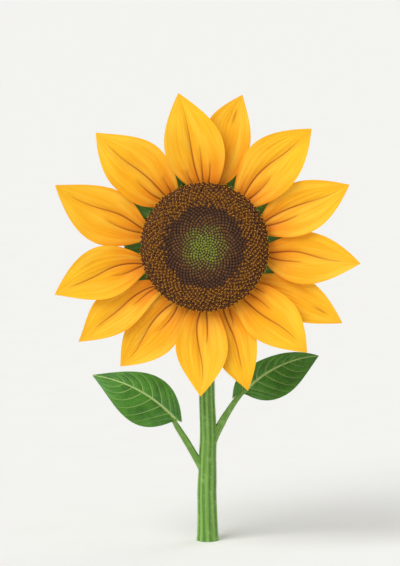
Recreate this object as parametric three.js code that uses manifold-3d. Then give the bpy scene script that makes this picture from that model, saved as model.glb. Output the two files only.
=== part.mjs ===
// Sunflower plant: one upright stem with a single large flower head that looks forward, and two stalked
// leaves. Millimetres, +Z up. The origin is the centre of the level cut under the stem, and the flower
// faces -Y.
import * as THREE from "three";
import { mergeVertices } from "three/addons/utils/BufferGeometryUtils.js";
import Module from "manifold-3d";

const wasm = await Module();
wasm.setup();

// Driving dimensions
const CLEARANCE = 0.3; // between pieces that meet
const LOOK_UP = THREE.MathUtils.degToRad(7); // how far the flower and the leaves look above the horizon
const LIMB_SIDES = 24;
const HEAD_SIDES = 48;

// Stem: [height, sideways lean, radius], from the cut up to the neck. It leaves the cut with no lean, which
// keeps the cut level.
const STEM_TOP = 226;
const STEM = [
  [0, 0, 10.4],
  [6, 0, 9.9],
  [18, -0.3, 9.4],
  [46, -0.7, 8.8],
  [66, -0.2, 8.4],
  [80, 0, 8.1],
  [96, 0.6, 7.7],
  [110, 0.3, 7.4],
  [130, -0.6, 7.3],
  [180, -1.6, 7.2],
  [STEM_TOP, -2, 7.4],
];

// Neck: it rises on from the stem and bends forward into the back of the head. How far its line keeps each
// end's direction, and its radius at the stem and at the head.
const NECK_RISE = 30;
const NECK_RUN = 20;
const NECK_RADII = [7.2, 10.4];
const NECK_RINGS = 10;

// Head, in its own frame: x to the right, y up, z forward, the origin at the centre of the disc's rim
const HEAD_CENTRE = new THREE.Vector3(-3, -72, 279.8);
const HEAD_BACK = -38; // the depth at which the head meets the neck
const DISC_BACK = -2;
const DISC_RADIUS = 57.3;
const DISC_FACE = [
  [DISC_RADIUS, -0.8],
  [DISC_RADIUS, 1.2],
  [56, 3.4],
  [52, 5.4],
  [40, 7.4],
  [22, 8.3],
  [0, 8.6],
];
const HUB_RADIUS = 51.5; // the wall that the petals grow from, under the overhang of the disc
const COLLAR_RADIUS = 56.3; // the wall that the bracts grow from, behind the petals
const COLLAR = [-12.9, -18]; // the depths that it spans
const HEAD_UNDERSIDE = [
  [10.6, HEAD_BACK],
  [12.6, -36],
  [17, -33],
  [27, -29.6],
  [40, -25.8],
  [50, -22.6],
  [55, -20],
];

// Ray petals, clockwise from the top as seen from the front. Bearings are degrees clockwise from straight up.
// tip: [bearing, reach from the head's centre]. root: the bearings where the two edges leave the disc.
// before, after: the anticlockwise and the clockwise edge, each [share of the length where it is widest,
// distance from the petal's line there, how fast it leaves the root, how fast it runs in to the tip].
// tier: which petals lie in front, counted from the back. curl: how far the tip bends back.
const PETALS = [
  {
    tip: [-9.7, 138], root: [-16, 12], tier: 3, curl: 3,
    before: [0.39, 25, 2.2, 1.7], after: [0.39, 27.5, 2, 1.6],
  },
  {
    tip: [13.9, 139.5], root: [-1.5, 17], tier: 1, curl: 6,
    before: [0.59, 21.5, 1.5, 1.5], after: [0.44, 21, 2.6, 1.5],
  },
  {
    tip: [42.1, 141], root: [27, 52], tier: 3, curl: 5,
    before: [0.44, 28, 1.7, 1.7], after: [0.41, 22, 2.1, 1.8],
  },
  {
    tip: [66.8, 139.5], root: [61.5, 79.5], tier: 2, curl: -1,
    before: [0.42, 23.5, 1.9, 1.6], after: [0.44, 23, 2.1, 1.7],
  },
  {
    tip: [96.1, 139], root: [86.5, 106], tier: 1, curl: -3,
    before: [0.39, 23.5, 1.1, 1.9], after: [0.4, 23.5, 2.2, 1.5],
  },
  {
    tip: [118.9, 140], root: [114.5, 135], tier: 0, curl: 2,
    before: [0.43, 22.5, 1.4, 1.7], after: [0.47, 16, 1.5, 1.4],
  },
  {
    tip: [135.9, 130.5], root: [124, 153], tier: 2, curl: 4,
    before: [0.43, 23, 2.3, 1.8], after: [0.37, 23.5, 1.3, 1.5],
  },
  {
    tip: [163.2, 133.5], root: [153.5, 171], tier: 1, curl: 5,
    before: [0.37, 20.5, 0.6, 1.7], after: [0.56, 17.5, 1.5, 1.1],
  },
  {
    tip: [181.6, 132.5], root: [169, 193.5], tier: 2, curl: -2,
    before: [0.44, 23, 1.5, 1.6], after: [0.43, 23.5, 2, 1.3],
  },
  {
    tip: [215.2, 130], root: [192.5, 223], tier: 0, curl: 3,
    before: [0.44, 24.5, 2, 1.7], after: [0.51, 19.5, 0.9, 1.5],
  },
  {
    tip: [233.1, 140], root: [223, 239.5], tier: 1, curl: 0,
    before: [0.49, 16.5, 0.6, 1.5], after: [0.54, 21.5, 2.3, 1],
  },
  {
    tip: [252.4, 139.5], root: [247, 263], tier: 2, curl: 4,
    before: [0.42, 19.5, 1.6, 1.3], after: [0.43, 27.5, 2, 1.7],
  },
  {
    tip: [292.4, 143.5], root: [274.5, 293.5], tier: 1, curl: -2,
    before: [0.42, 29, 1.9, 1.7], after: [0.37, 22, 1.4, 1.4],
  },
  {
    tip: [316.4, 140], root: [308, 336], tier: 2, curl: 5,
    before: [0.45, 24.5, 3.2, 1.8], after: [0.42, 28, 2, 1.3],
  },
];
const PETAL_THICK = [0.9, 1.2]; // at the edge, and along the middle
const PETAL_CUP = 2.2; // how far the edges stand forward of the middle
const PETAL_NECK = 1.5; // how much narrower the root is at the hub than at the disc's rim, in degrees a side
const CURL_START = 0.55; // share of the length where the tip begins to bend
const TIER_BACK = -11.2; // the rearmost tier's depth at the hub
const TIER_STEP = 2.4;
const TIER_RISE = [0.03, 0.045]; // slope of the rearmost tier, and what each tier adds
const PETAL_GRID = [6, 11];

// Bracts: two rings of pointed green scales behind the petals. back: how far the tips bend back.
const BRACT_RINGS = [
  { name: "bract_front", depth: -14.5, turn: 0, back: 3 },
  { name: "bract_rear", depth: -17.3, turn: 0.5, back: 8 },
];
const BRACTS_A_RING = 13;
const BRACT_LENGTH = 30;
const BRACT_EDGE = { root: [0, 7], belly: [0.28, 9.8, 1.6, 0.8] };
const BRACT_THICK = [0.7, 1.3]; // at the edge, and along the middle
const BRACT_CUP = 1.2; // how far the root's edges stand forward of its middle
const BRACT_GRID = [4, 6];

// Leaves, in the plane that faces forward: x to the right, y up, z forward. stalk: the stalk's line, from
// inside the stem into the blade's foot. ribBow: how far the blade's midrib bows from the line between foot
// and tip. before, after: the anticlockwise and the clockwise edge of the blade, as for a petal. root: [share
// of the length, distance from the line] where the edge leaves the stalk.
const LEAVES = [
  {
    name: "left",
    stalk: [
      [0.5, 57.1, 7],
      [-10.8, 76.6, 10.4],
      [-19.2, 91.2, 13.7],
      [-27.5, 104.5, 16.9],
      [-30.8, 109.9, 18],
      [-36.3, 116.1, 19],
    ],
    stalkRadii: [4.8, 3.5, 3.1, 3, 2.6, 1.3],
    base: [-28.2, 110.3, 18],
    tip: [-105.7, 152.4, 21],
    ribBow: 8.2,
    before: { root: [0.03, 1.3], belly: [0.38, 19.7, 2.2, 1] },
    after: { root: [-0.05, 1.4], belly: [0.4, 27.1, 2.4, 1.4] },
  },
  {
    name: "right",
    stalk: [
      [1.2, 85.6, 10.5],
      [12.2, 107.7, 14.2],
      [18.9, 119.2, 16.4],
      [25.2, 128.6, 18.1],
      [29.4, 133.5, 19],
      [35.2, 139.6, 19.8],
    ],
    stalkRadii: [4.9, 3.8, 3.5, 2.9, 2.4, 1.3],
    base: [31.8, 134.9, 19],
    tip: [101.7, 170.1, 18],
    ribBow: 7.9,
    before: { root: [-0.13, 0.6], belly: [0.33, 20.6, 2.8, 2.4] },
    after: { root: [0.03, 1.1], belly: [0.42, 17.7, 2.6, 1.2] },
  },
];
const STALK_SIDES = 12;
const RINGS_A_SPAN = 3; // rings from one given point of a stalk to the next
const LEAF_THICK = [1, 1.1, 2.6]; // at the edge, inside it, and along the rib at the foot
const RIB_TAPER = 0.6; // share of the rib's thickness that is gone at the tip
const LEAF_LEAN = 0.42; // how far the blade's upper half lies back, for each mm above its line
const LEAF_FOLD = 0.16; // how far each half stands forward, for each mm from the rib
const LEAF_ARCH = 7; // how far the middle of the rib stands forward of its foot
const LEAF_DROOP = 4.2; // how far the tip lies back
const LEAF_GRID = [8, 14];

const TIP_HALF_WIDTH = 0.4; // of petals, bracts and leaves

const MATERIALS = {
  stem: new THREE.MeshStandardMaterial({ color: 0x5f8f35, roughness: 0.65, metalness: 0 }),
  receptacle: new THREE.MeshStandardMaterial({ color: 0x62953a, roughness: 0.65, metalness: 0 }),
  leaf: new THREE.MeshStandardMaterial({ color: 0x3f7a2a, roughness: 0.6, metalness: 0 }),
  bract: new THREE.MeshStandardMaterial({ color: 0x4f8a2f, roughness: 0.65, metalness: 0 }),
  petal: new THREE.MeshStandardMaterial({ color: 0xf5b911, roughness: 0.55, metalness: 0 }),
  disc: new THREE.MeshStandardMaterial({ color: 0x4a2a12, roughness: 0.85, metalness: 0 }),
};

// A cubic between two values with given slopes, over t from 0 to 1.
function ease(t, from, slopeFrom, to, slopeTo) {
  const t2 = t * t;
  const t3 = t2 * t;
  return (
    from * (2 * t3 - 3 * t2 + 1) +
    slopeFrom * (t3 - 2 * t2 + t) +
    to * (3 * t2 - 2 * t3) +
    slopeTo * (t3 - t2)
  );
}

// A point of the head's plane, at a bearing clockwise from straight up.
function atBearing(degrees, reach) {
  const angle = THREE.MathUtils.degToRad(degrees);
  return new THREE.Vector2(reach * Math.sin(angle), reach * Math.cos(angle));
}

// One edge of a blade at share s of its length: how far along it is, and how far out from the blade's line.
function edgeAt({ root, belly }, s) {
  const [widest, reach, round, point] = belly;
  const along = s + root[0] * (1 - s) ** 2;
  const out =
    s <= widest
      ? ease(s / widest, root[1], round * (reach - root[1]), reach, 0)
      : ease((s - widest) / (1 - widest), reach, 0, TIP_HALF_WIDTH, -point * reach);
  return { along, out };
}

// The same shape with only positions, its shared vertices merged.
function welded(geometry) {
  geometry.deleteAttribute("normal");
  geometry.deleteAttribute("uv");
  return mergeVertices(geometry, 1e-4);
}

// A closed sheet: a flat box whose points go to surface(across, along, side), across from -1 to 1,
// along from 0 to 1, and side -0.5 behind and 0.5 in front.
function sheetGeometry([columns, rows], surface) {
  const box = new THREE.BoxGeometry(2, 1, 1, columns, rows, 1);
  const points = box.getAttribute("position");
  for (let i = 0; i < points.count; i++) {
    const p = surface(points.getX(i), points.getY(i) + 0.5, points.getZ(i));
    points.setXYZ(i, p.x, p.y, p.z);
  }
  return welded(box);
}

// A round limb along a curve: a turned profile [share of the length, radius], closed at both ends, then bent.
function limbGeometry(curve, profile, sides, side) {
  const turned = profile.map(([at, radius]) => new THREE.Vector2(radius, at));
  const closed = [new THREE.Vector2(0, profile[0][0]), ...turned, new THREE.Vector2(0, profile.at(-1)[0])];
  const geometry = new THREE.LatheGeometry(closed, sides);
  const points = geometry.getAttribute("position");
  for (let i = 0; i < points.count; i++) {
    const at = points.getY(i);
    const ahead = curve.getTangentAt(at);
    const first = side.clone().addScaledVector(ahead, -side.dot(ahead)).normalize();
    const second = new THREE.Vector3().crossVectors(first, ahead);
    const p = curve.getPointAt(at);
    p.addScaledVector(first, points.getX(i)).addScaledVector(second, points.getZ(i));
    points.setXYZ(i, p.x, p.y, p.z);
  }
  return welded(geometry);
}

// A turned body about the head's axis, from a profile [radius, depth].
function turnedGeometry(profile) {
  const turned = profile.map(([radius, depth]) => new THREE.Vector2(radius, depth));
  return welded(new THREE.LatheGeometry(turned, HEAD_SIDES).rotateX(Math.PI / 2));
}

function solidOf(geometry) {
  const vertProperties = new Float32Array(geometry.getAttribute("position").array);
  const triVerts = new Uint32Array(geometry.index.array);
  return new wasm.Manifold(new wasm.Mesh({ numProp: 3, vertProperties, triVerts }));
}

// The first shape with the second cut out of it, as one body: loose scraps are dropped.
function cutGeometry(kept, tool) {
  const bodies = solidOf(kept).subtract(solidOf(tool)).decompose();
  const largest = bodies.reduce((a, b) => (a.volume() > b.volume() ? a : b));
  const mesh = largest.getMesh();
  const geometry = new THREE.BufferGeometry();
  geometry.setAttribute("position", new THREE.BufferAttribute(mesh.vertProperties, 3));
  geometry.setIndex(new THREE.BufferAttribute(mesh.triVerts, 1));
  return geometry;
}

function named(name, geometry, material) {
  const mesh = new THREE.Mesh(geometry, material);
  mesh.name = name;
  return mesh;
}

function numbered(name, i) {
  return `${name}_${String(i + 1).padStart(2, "0")}`;
}

// The stem, or with extra the sleeve that the leaf stalks are cut back to.
function stemGeometry(extra) {
  const line = new THREE.CatmullRomCurve3(STEM.map(([height, lean]) => new THREE.Vector3(lean, 0, height)));
  const profile = STEM.map(([height, , radius]) => [height / STEM_TOP, radius + extra]);
  return limbGeometry(line, profile, LIMB_SIDES, new THREE.Vector3(0, -1, 0));
}

function neckGeometry() {
  const forward = new THREE.Vector3(0, -Math.cos(LOOK_UP), Math.sin(LOOK_UP));
  const foot = new THREE.Vector3(STEM.at(-1)[1], 0, STEM_TOP + CLEARANCE);
  const end = HEAD_CENTRE.clone().addScaledVector(forward, HEAD_BACK - CLEARANCE);
  const rise = foot.clone().add(new THREE.Vector3(0, 0, NECK_RISE));
  const run = end.clone().addScaledVector(forward, -NECK_RUN);
  const curve = new THREE.CubicBezierCurve3(foot, rise, run, end);
  const profile = Array.from({ length: NECK_RINGS + 1 }, (_, i) => {
    const at = i / NECK_RINGS;
    return [at, THREE.MathUtils.lerp(NECK_RADII[0], NECK_RADII[1], at ** 3)];
  });
  return limbGeometry(curve, profile, LIMB_SIDES, new THREE.Vector3(1, 0, 0));
}

function discGeometry() {
  return turnedGeometry([[0, DISC_BACK], [DISC_FACE[2][0], DISC_BACK], ...DISC_FACE]);
}

function receptacleGeometry() {
  const front = DISC_BACK - CLEARANCE;
  const collar = [[COLLAR_RADIUS, COLLAR[1]], [COLLAR_RADIUS, COLLAR[0]]];
  const hub = [[HUB_RADIUS, COLLAR[0] + CLEARANCE], [HUB_RADIUS, front]];
  return turnedGeometry([[0, HEAD_BACK], ...HEAD_UNDERSIDE, ...collar, ...hub, [0, front]]);
}

// How far forward a tier of petals lies at a distance from the head's centre.
function tierDepth(tier, reach) {
  return TIER_BACK + tier * TIER_STEP + (TIER_RISE[0] + tier * TIER_RISE[1]) * (reach - HUB_RADIUS);
}

function petalGeometry(petal) {
  const corners = petal.root.map((bearing) => atBearing(bearing, DISC_RADIUS));
  const foot = corners[0].clone().add(corners[1]).multiplyScalar(0.5);
  const line = atBearing(...petal.tip).sub(foot);
  const length = line.length();
  const ahead = line.normalize();
  const across = new THREE.Vector2(ahead.y, -ahead.x);
  const edges = [petal.before, petal.after].map((belly, i) => {
    const corner = corners[i].clone().sub(foot);
    const root = [corner.dot(ahead) / length, Math.abs(corner.dot(across))];
    return { root, belly };
  });
  const edgePoint = (i, s) => {
    const { along, out } = edgeAt(edges[i], s);
    return foot.clone().addScaledVector(ahead, along * length).addScaledVector(across, i ? out : -out);
  };
  const rootPoint = (share) => {
    const bearing = THREE.MathUtils.lerp(petal.root[0] + PETAL_NECK, petal.root[1] - PETAL_NECK, share);
    return atBearing(bearing, HUB_RADIUS + CLEARANCE);
  };
  const [, rows] = PETAL_GRID;
  return sheetGeometry(PETAL_GRID, (c, row, side) => {
    const s = Math.max(0, (row * rows - 1) / (rows - 1)); // the first row lies under the disc, against the hub
    const share = (c + 1) / 2;
    const flat = row * rows < 0.5 ? rootPoint(share) : edgePoint(0, s).lerp(edgePoint(1, s), share);
    const curl = petal.curl * Math.max(0, (s - CURL_START) / (1 - CURL_START)) ** 2;
    const cup = PETAL_CUP * Math.sin(Math.PI * s) * c * c;
    const depth = tierDepth(petal.tier, flat.length()) + cup - curl;
    const thick = THREE.MathUtils.lerp(PETAL_THICK[1], PETAL_THICK[0], c * c);
    return new THREE.Vector3(flat.x, flat.y, depth + side * thick);
  });
}

function bractGeometry(ring) {
  return sheetGeometry(BRACT_GRID, (c, s, side) => {
    const { out } = edgeAt(BRACT_EDGE, s);
    const reach = COLLAR_RADIUS + CLEARANCE + s * BRACT_LENGTH;
    const depth = ring.depth - ring.back * s * s + BRACT_CUP * c * c * (1 - s);
    const thick = THREE.MathUtils.lerp(BRACT_THICK[1], BRACT_THICK[0], c * c);
    return new THREE.Vector3(c * out, reach, depth + side * thick);
  });
}

function headGroup() {
  const head = new THREE.Group();
  head.position.copy(HEAD_CENTRE);
  head.rotation.x = Math.PI / 2 - LOOK_UP;
  head.add(named("receptacle", receptacleGeometry(), MATERIALS.receptacle));
  head.add(named("seed_disc", discGeometry(), MATERIALS.disc));
  PETALS.forEach((petal, i) => {
    head.add(named(numbered("petal", i), petalGeometry(petal), MATERIALS.petal));
  });
  for (const ring of BRACT_RINGS) {
    const geometry = bractGeometry(ring);
    for (let i = 0; i < BRACTS_A_RING; i++) {
      const bract = named(numbered(ring.name, i), geometry, MATERIALS.bract);
      bract.rotation.z = (-2 * Math.PI * (i + ring.turn)) / BRACTS_A_RING;
      head.add(bract);
    }
  }
  return head;
}

// A point of the plane that faces forward, as a point of the plant.
function facing([x, up, forward]) {
  const cos = Math.cos(LOOK_UP);
  const sin = Math.sin(LOOK_UP);
  return new THREE.Vector3(x, up * sin - forward * cos, up * cos + forward * sin);
}

// A leaf's stalk, or with extra the sleeve that its blade is cut back to.
function stalkGeometry(leaf, extra) {
  const line = new THREE.CatmullRomCurve3(leaf.stalk.map(facing));
  const spans = leaf.stalkRadii.length - 1;
  const rings = RINGS_A_SPAN * spans;
  const profile = Array.from({ length: rings + 1 }, (_, i) => {
    const span = Math.min(Math.floor(i / RINGS_A_SPAN), spans - 1);
    const share = i / RINGS_A_SPAN - span;
    return [i / rings, THREE.MathUtils.lerp(leaf.stalkRadii[span], leaf.stalkRadii[span + 1], share) + extra];
  });
  return limbGeometry(line, profile, STALK_SIDES, new THREE.Vector3(0, -1, 0));
}

function bladeGeometry(leaf) {
  const base = new THREE.Vector2(leaf.base[0], leaf.base[1]);
  const line = new THREE.Vector2(leaf.tip[0], leaf.tip[1]).sub(base);
  const length = line.length();
  const ahead = line.normalize();
  const across = new THREE.Vector2(ahead.y, -ahead.x);
  const upward = Math.sign(across.y);
  return sheetGeometry(LEAF_GRID, (c, s, side) => {
    const { along, out } = edgeAt(c < 0 ? leaf.before : leaf.after, s);
    const rib = upward * 4 * leaf.ribBow * s * (1 - s);
    const width = THREE.MathUtils.lerp(rib, Math.sign(c) * out, Math.abs(c));
    const reach = THREE.MathUtils.lerp(s, along, Math.abs(c));
    const flat = base.clone().addScaledVector(ahead, reach * length).addScaledVector(across, width);
    const lean = -LEAF_LEAN * upward * width;
    const fold = LEAF_FOLD * Math.abs(width - rib);
    const arch = LEAF_ARCH * Math.sin(Math.PI * s) - LEAF_DROOP * s * s;
    const middle = THREE.MathUtils.lerp(leaf.base[2], leaf.tip[2], s) + lean + fold + arch;
    const inner = c === 0 ? LEAF_THICK[2] * (1 - RIB_TAPER * s) : LEAF_THICK[1];
    const thick = Math.abs(c) === 1 ? LEAF_THICK[0] : inner;
    return facing([flat.x, flat.y, middle + side * thick]);
  });
}

function leafGroup(leaf, stemSleeve) {
  const group = new THREE.Group();
  const stalk = cutGeometry(stalkGeometry(leaf, 0), stemSleeve);
  const blade = cutGeometry(bladeGeometry(leaf), stalkGeometry(leaf, CLEARANCE));
  group.add(named(`leaf_stalk_${leaf.name}`, stalk, MATERIALS.stem));
  group.add(named(`leaf_blade_${leaf.name}`, blade, MATERIALS.leaf));
  return group;
}

const plant = new THREE.Group();
plant.add(named("stem", stemGeometry(0), MATERIALS.stem));
plant.add(named("neck", neckGeometry(), MATERIALS.stem));
plant.add(headGroup());
const stemSleeve = stemGeometry(CLEARANCE);
for (const leaf of LEAVES) plant.add(leafGroup(leaf, stemSleeve));

export default plant;
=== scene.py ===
import math

import bpy
import numpy as np
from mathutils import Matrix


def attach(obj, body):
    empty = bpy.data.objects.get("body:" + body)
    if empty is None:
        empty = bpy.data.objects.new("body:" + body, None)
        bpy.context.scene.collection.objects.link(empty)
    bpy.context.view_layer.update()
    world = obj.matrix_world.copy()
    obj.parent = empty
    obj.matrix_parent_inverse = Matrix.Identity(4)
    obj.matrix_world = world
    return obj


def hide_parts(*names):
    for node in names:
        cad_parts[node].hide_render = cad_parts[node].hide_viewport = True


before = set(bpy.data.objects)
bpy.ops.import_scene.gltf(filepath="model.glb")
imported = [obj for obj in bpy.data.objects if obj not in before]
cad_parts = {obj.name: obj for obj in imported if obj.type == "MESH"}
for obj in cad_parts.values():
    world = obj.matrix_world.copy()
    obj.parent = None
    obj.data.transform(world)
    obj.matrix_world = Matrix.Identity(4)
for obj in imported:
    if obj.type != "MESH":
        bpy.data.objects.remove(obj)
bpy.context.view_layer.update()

MM = 0.001

# Seeds of the random draws. Pieces of one kind count up from theirs.
SEEDS = dict(
    stem=11, zone_scatter=19, zone_edges=20, florets=21, petals=40, receptacle=60, bracts=200, leaves=300,
    stalks=320,
)

# Columns and rows of the meshes, across or round a piece and then along it
GRIDS = dict(
    petal=(80, 84), bract=(16, 26), leaf=(110, 160), stalk=(40, 60), stem=(80, 110), core=(128, 50),
)

# Sizes in millimetres, as in the part's source. Bearings are degrees clockwise from straight up, as seen
# from the front. On a petal, bract or leaf blade, s runs from 0 at the root to 1 at the tip, and c from
# -1 at the anticlockwise edge to 1 at the clockwise one. The foot of a bract has s below 0.
LOOK_UP = math.radians(7)  # how far the flower and the leaves look above the horizon
CLEARANCE = 0.3  # between a petal or bract and what carries it
TIP_HALF_WIDTH = 0.4

# Stem: (height, sideways lean, radius)
STEM_TOP = 226
STEM = [
    (0, 0, 10.4), (6, 0, 9.9), (18, -0.3, 9.4), (46, -0.7, 8.8), (66, -0.2, 8.4), (80, 0, 8.1),
    (96, 0.6, 7.7), (110, 0.3, 7.4), (130, -0.6, 7.3), (180, -1.6, 7.2), (STEM_TOP, -2, 7.4),
]

# Neck, from the stem forward into the back of the head
NECK_RINGS = 39
NECK_RISE = 30  # how far it follows the stem's direction
NECK_RUN = 20  # and how far that of the head
NECK_SINK = 1.5  # how far it runs into the head
NECK_END_RADIUS = 10.4

# Relief of the stem and stalks, less where they are thinner than the given radius
RIDGES = 10
RIDGE_HEIGHT = 0.22
RIDGE_SWAY = (0.6, 70)  # how far they turn to and fro, in radians of their wave, and over what length
ROUGHNESS = 0.16
FULL_RELIEF_RADIUS = 6
CHANNEL_DEPTH = 0.2  # in front of a stalk, as a share of its radius
CHANNEL_HALF_WIDTH = 0.5  # in radians

# Bristles on the stem and stalks
BRISTLES_A_MM2 = 0.17
BRISTLE_LENGTHS = (0.8, 1.9)
BRISTLE_RADIUS = 0.09
BRISTLE_LEAN = 0.25
BRISTLE_SINK = 0.1
BARE_RINGS = dict(stem=4, stalk=10)  # at the far end

# Head, in its own frame: x to the right, y up, z forward, the origin at the centre of the disc's rim
HEAD_CENTRE = np.array([-3, -72, 279.8])
HEAD_BACK = -38
DISC_BACK = -2
DISC_RADIUS = 57.3
HUB_RADIUS = 51.5
COLLAR_RADIUS = 56.3
COLLAR = (-12.9, -18)
HEAD_UNDERSIDE = [
    (10.6, HEAD_BACK), (12.6, -36), (17, -33), (27, -29.6), (40, -25.8), (50, -22.6), (55, -20),
]
RECEPTACLE_SIDES = 156
RECEPTACLE_STEP = 1.6  # between the rings of its mesh
RECEPTACLE_RIBS = 21
RECEPTACLE_RIB_HEIGHT = 0.35
RIB_FADES = (12, 30, 3)  # radius where they start, and how far they take to grow and to end

# Ray petals. tip: (bearing, reach). root: the bearings where the edges leave the disc. tier: counted from
# the back. curl: how far the tip bends back. edges: the anticlockwise and the clockwise one, each (s
# where it is widest, distance from the petal's line there, how fast it leaves the root, how fast it runs
# in to the tip). creases: each (s at its start, s at its end, and c at four even steps between them).
PETALS = [
    dict(tip=(-9.7, 138), root=(-16, 12), tier=3, curl=3,
         edges=((0.39, 25, 2.2, 1.7), (0.39, 27.5, 2, 1.6)),
         creases=[(0, 0.89, -0.13, -0.13, -0.04, 0.03), (0, 0.42, 0.08, 0.11, 0.15, 0.18),
                  (0, 0.22, 0.39, 0.42, 0.44, 0.46), (0, 0.19, -0.57, -0.55, -0.52, -0.5)]),
    dict(tip=(13.9, 139.5), root=(-1.5, 17), tier=1, curl=6,
         edges=((0.59, 21.5, 1.5, 1.5), (0.44, 21, 2.6, 1.5)),
         creases=[(0.63, 0.88, 0.1, 0.11, 0.12, 0.13)]),
    dict(tip=(42.1, 141), root=(27, 52), tier=3, curl=5,
         edges=((0.44, 28, 1.7, 1.7), (0.41, 22, 2.1, 1.8)),
         creases=[(0, 0.89, -0.14, -0.16, 0.02, 0.07), (0, 0.38, 0.25, 0.3, 0.3, 0.24)]),
    dict(tip=(66.8, 139.5), root=(61.5, 79.5), tier=2, curl=-1,
         edges=((0.42, 23.5, 1.9, 1.6), (0.44, 23, 2.1, 1.7)),
         creases=[(0, 0.89, -0.31, -0.19, -0.06, 0.05), (0, 0.41, 0.08, 0.19, 0.22, 0.18)]),
    dict(tip=(96.1, 139), root=(86.5, 106), tier=1, curl=-3,
         edges=((0.39, 23.5, 1.1, 1.9), (0.4, 23.5, 2.2, 1.5)),
         creases=[(0, 0.89, -0.16, -0.22, -0.04, 0.05), (0, 0.42, 0.21, 0.19, 0.18, 0.18)]),
    dict(tip=(118.9, 140), root=(114.5, 135), tier=0, curl=2,
         edges=((0.43, 22.5, 1.4, 1.7), (0.47, 16, 1.5, 1.4)),
         creases=[(0.62, 0.87, -0.02, 0, 0.02, 0.04)]),
    dict(tip=(135.9, 130.5), root=(124, 153), tier=2, curl=4,
         edges=((0.43, 23, 2.3, 1.8), (0.37, 23.5, 1.3, 1.5)),
         creases=[(0, 0.9, 0.34, 0.15, -0.01, -0.07), (0, 0.38, -0.1, -0.19, -0.23, -0.22),
                  (0, 0.18, -0.63, -0.61, -0.6, -0.58)]),
    dict(tip=(163.2, 133.5), root=(153.5, 171), tier=1, curl=5,
         edges=((0.37, 20.5, 0.6, 1.7), (0.56, 17.5, 1.5, 1.1)),
         creases=[(0, 0.83, 0.11, 0.09, -0.04, 0), (0, 0.26, -0.48, -0.35, -0.21, -0.08)]),
    dict(tip=(181.6, 132.5), root=(169, 193.5), tier=2, curl=-2,
         edges=((0.44, 23, 1.5, 1.6), (0.43, 23.5, 2, 1.3)),
         creases=[(0, 0.9, 0.17, 0.19, -0.01, -0.06), (0, 0.44, -0.22, -0.25, -0.23, -0.16)]),
    dict(tip=(215.2, 130), root=(192.5, 223), tier=0, curl=3,
         edges=((0.44, 24.5, 2, 1.7), (0.51, 19.5, 0.9, 1.5)),
         creases=[(0, 0.89, 0.06, 0.33, 0.12, -0.07), (0, 0.44, -0.19, -0.22, -0.18, -0.09)]),
    dict(tip=(233.1, 140), root=(223, 239.5), tier=1, curl=0,
         edges=((0.49, 16.5, 0.6, 1.5), (0.54, 21.5, 2.3, 1)),
         creases=[(0, 0.84, 0.09, 0.08, -0.06, -0.01), (0, 0.32, -0.18, -0.22, -0.27, -0.32)]),
    dict(tip=(252.4, 139.5), root=(247, 263), tier=2, curl=4,
         edges=((0.42, 19.5, 1.6, 1.3), (0.43, 27.5, 2, 1.7)),
         creases=[(0, 0.88, -0.03, 0.09, -0.06, -0.05), (0, 0.38, -0.22, -0.32, -0.31, -0.2)]),
    dict(tip=(292.4, 143.5), root=(274.5, 293.5), tier=1, curl=-2,
         edges=((0.42, 29, 1.9, 1.7), (0.37, 22, 1.4, 1.4)),
         creases=[(0, 0.87, 0.23, 0.28, 0.13, 0.09), (0, 0.41, -0.13, -0.15, -0.14, -0.1)]),
    dict(tip=(316.4, 140), root=(308, 336), tier=2, curl=5,
         edges=((0.45, 24.5, 3.2, 1.8), (0.42, 28, 2, 1.3)),
         creases=[(0, 0.88, 0.04, 0.03, -0.07, 0.06), (0, 0.36, -0.25, -0.31, -0.32, -0.31),
                  (0, 0.19, 0.48, 0.47, 0.47, 0.47)]),
]
PETAL_THICK = (0.5, 0.8)  # at the edge, and along the middle
PETAL_CUP = 2.2
PETAL_NECK = 1.5  # how far each edge draws in below the disc, in degrees
CURL_START = 0.55
TIER_BACK = -11.2  # depth of the rearmost petals at the hub
TIER_STEP = 2.4
TIER_RISE = (0.03, 0.045)  # how steeply the rearmost ones come forward, and how much more each tier does
CROWDING = (2, 0.09)  # how many more columns there are along a crease, and within what range of c
GROOVE = (0.6, 0.85)  # depth and half width of a crease at its strongest
VALLEY = (1.6, 4.2)  # the same for the hollow that it lies in
PETAL_RIPPLE = 0.7
PETAL_FRILL = 0.7  # at the edges
FINE_RIBS = 11  # across a petal
FINE_RIB_HEIGHT = 0.13  # where the petal is widest

# Bracts, in two rings behind the petals. turn: in steps between bracts. back: how far the tips lie behind
# the roots. foot: how far each one runs in. over: whether it does so over the receptacle's edge.
BRACT_RINGS = [
    dict(name="bract_front", depth=-14.5, turn=0, back=3, foot=1.5, over=False),
    dict(name="bract_rear", depth=-17.3, turn=0.5, back=8, foot=10, over=True),
]
BRACTS_A_RING = 13
BRACT_LENGTH = 30
BRACT_EDGE = (0, 7, 0.28, 9.8, 1.6, 0.8)  # as a leaf's
BRACT_THICK = (0.4, 1)
BRACT_CUP = 1.2
BRACT_RIPPLE = 0.35
BRACT_VEINS = 5
BRACT_VEIN_DEPTHS = (0.2, 0.3)  # in front, and behind
BRACT_VARIETY = dict(length=(0.94, 1), back=(0.85, 1.15), sway=(-1.5, 1.5))
FOOT_NARROWER = 0.3  # at its end, as a share of its width
FOOT_RISE = 1  # how far its middle lies off the receptacle at the collar
FOOT_SINK = (1.7, 1.5)  # how far its end sinks from there, and how much farther its sides do
FOOT_LEAVE = 25  # how fast the bract may leave the receptacle beyond its foot

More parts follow.
